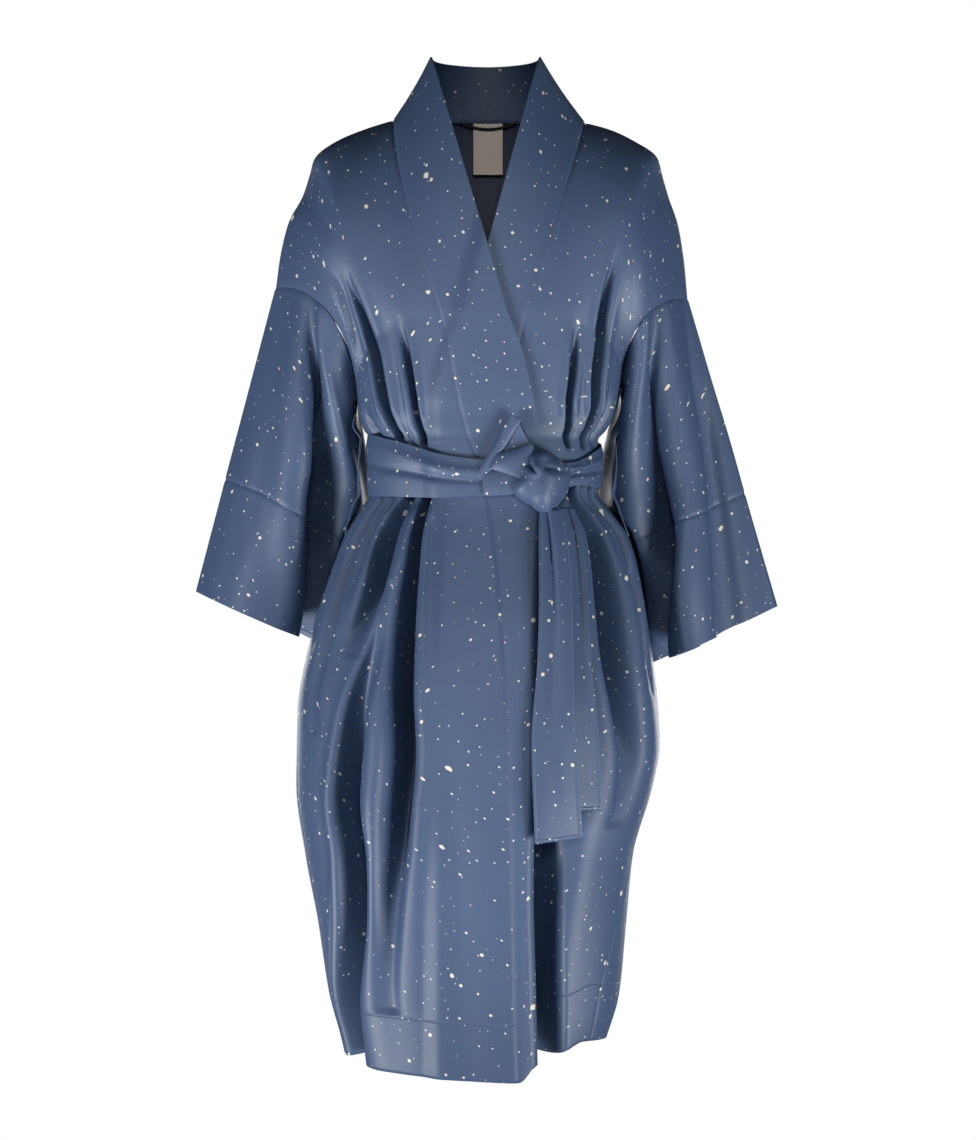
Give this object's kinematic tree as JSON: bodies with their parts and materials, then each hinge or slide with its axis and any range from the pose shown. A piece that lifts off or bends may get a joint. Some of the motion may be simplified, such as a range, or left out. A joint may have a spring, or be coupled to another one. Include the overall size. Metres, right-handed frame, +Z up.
{
  "type": "kimono robe",
  "caption": "Knee-length wrap robe in printed cotton sateen, worn hollow form, crossed banded fronts, wide cuffed sleeves and a knotted sash.",
  "frame": {"origin": "midpoint between the wearer's two shoulder points, level with the base of the neck seam at the sides", "axes": "+X to the wearer's left, -Y the way the garment faces, +Z up"},
  "size_m": [0.706, 0.3176, 1.2052],
  "materials": {
    "sateen": "soft sateen",
    "label": "matte weave",
    "tape": "matte tape"
  },
  "bodies": {
    "root": {"front_right": "sateen", "band_right": "sateen", "front_left": "sateen", "band_left": "sateen", "back": "sateen", "collar": "sateen", "sleeve_right": "sateen", "cuff_right": "sateen", "sleeve_left": "sateen", "cuff_left": "sateen", "belt": "sateen", "belt_knot": "sateen", "belt_ear": "sateen", "belt_tail_front": "sateen", "belt_tail_back": "sateen", "belt_loop_left": "sateen", "belt_loop_right": "sateen", "neck_label": "label", "hanging_loop": "tape"}
  },
  "joints": []
}
